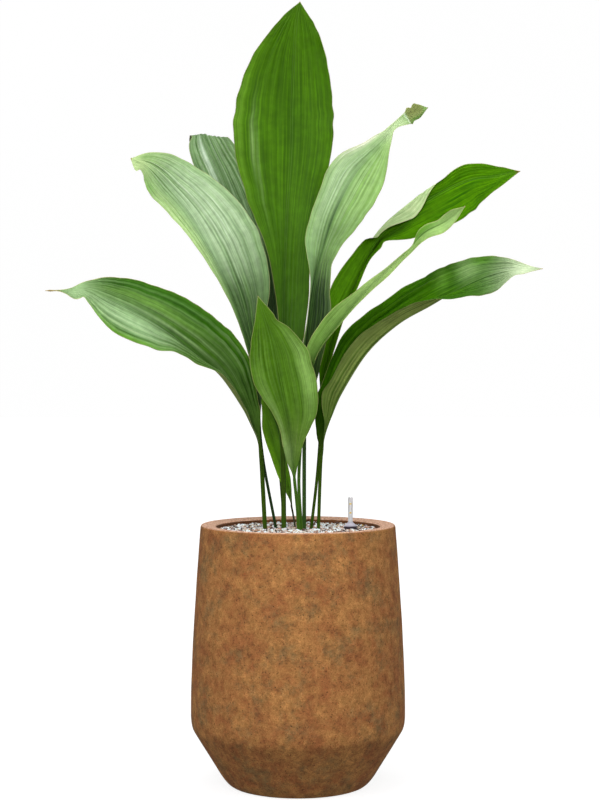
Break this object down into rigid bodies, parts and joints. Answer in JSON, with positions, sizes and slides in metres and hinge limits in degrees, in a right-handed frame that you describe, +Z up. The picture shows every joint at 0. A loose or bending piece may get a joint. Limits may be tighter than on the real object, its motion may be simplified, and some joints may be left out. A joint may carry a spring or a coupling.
{
  "type": "potted cast iron plant",
  "caption": "Tall house plant with broad arching leaves on slender stalks, in a round stone-look planter with a chamfered foot, pumice topping and a water level gauge.",
  "frame": {"origin": "middle of the planter's flat foot, on the surface that it stands on", "axes": "+Z up along the planter's axis, -Y towards the viewer of the picture, +X to the viewer's right"},
  "size_m": [0.5733, 0.4173, 0.9656],
  "materials": {
    "planter_stone": "matte mottled rust-brown cast stone, fine grain, paler rim",
    "drainage_clay": "matte fired clay granules",
    "soil": "dark peaty potting soil",
    "pumice": "white, cream and grey pumice chips",
    "root": "pale knobbly rootstock",
    "gauge_dark": "dark grey moulded plastic",
    "gauge_clear": "clear moulded plastic",
    "gauge_float": "red float rod",
    "leaf_dark": "satin dark green leaf with parallel veins",
    "leaf_bright": "satin bright green leaf with parallel veins",
    "leaf_pale": "pleated green leaf with a pale sheen"
  },
  "bodies": {
    "root": {"planter": "planter_stone", "drainage_layer": "drainage_clay", "potting_soil": "soil", "pumice_topping": "pumice", "rootstock": "root", "gauge_shaft": "gauge_dark", "gauge_flange": "gauge_dark", "gauge_collar": "gauge_clear", "gauge_tube": "gauge_clear", "gauge_float": "gauge_float", "leaf_tall_centre": "leaf_dark", "leaf_upper_left": "leaf_pale", "leaf_back_left": "leaf_pale", "leaf_upper_right": "leaf_pale", "leaf_twisted_right": "leaf_dark", "leaf_narrow_right": "leaf_bright", "leaf_arching_right": "leaf_dark", "leaf_arching_left": "leaf_dark", "leaf_small_front": "leaf_bright", "leaf_small_back": "leaf_bright"}
  },
  "joints": []
}
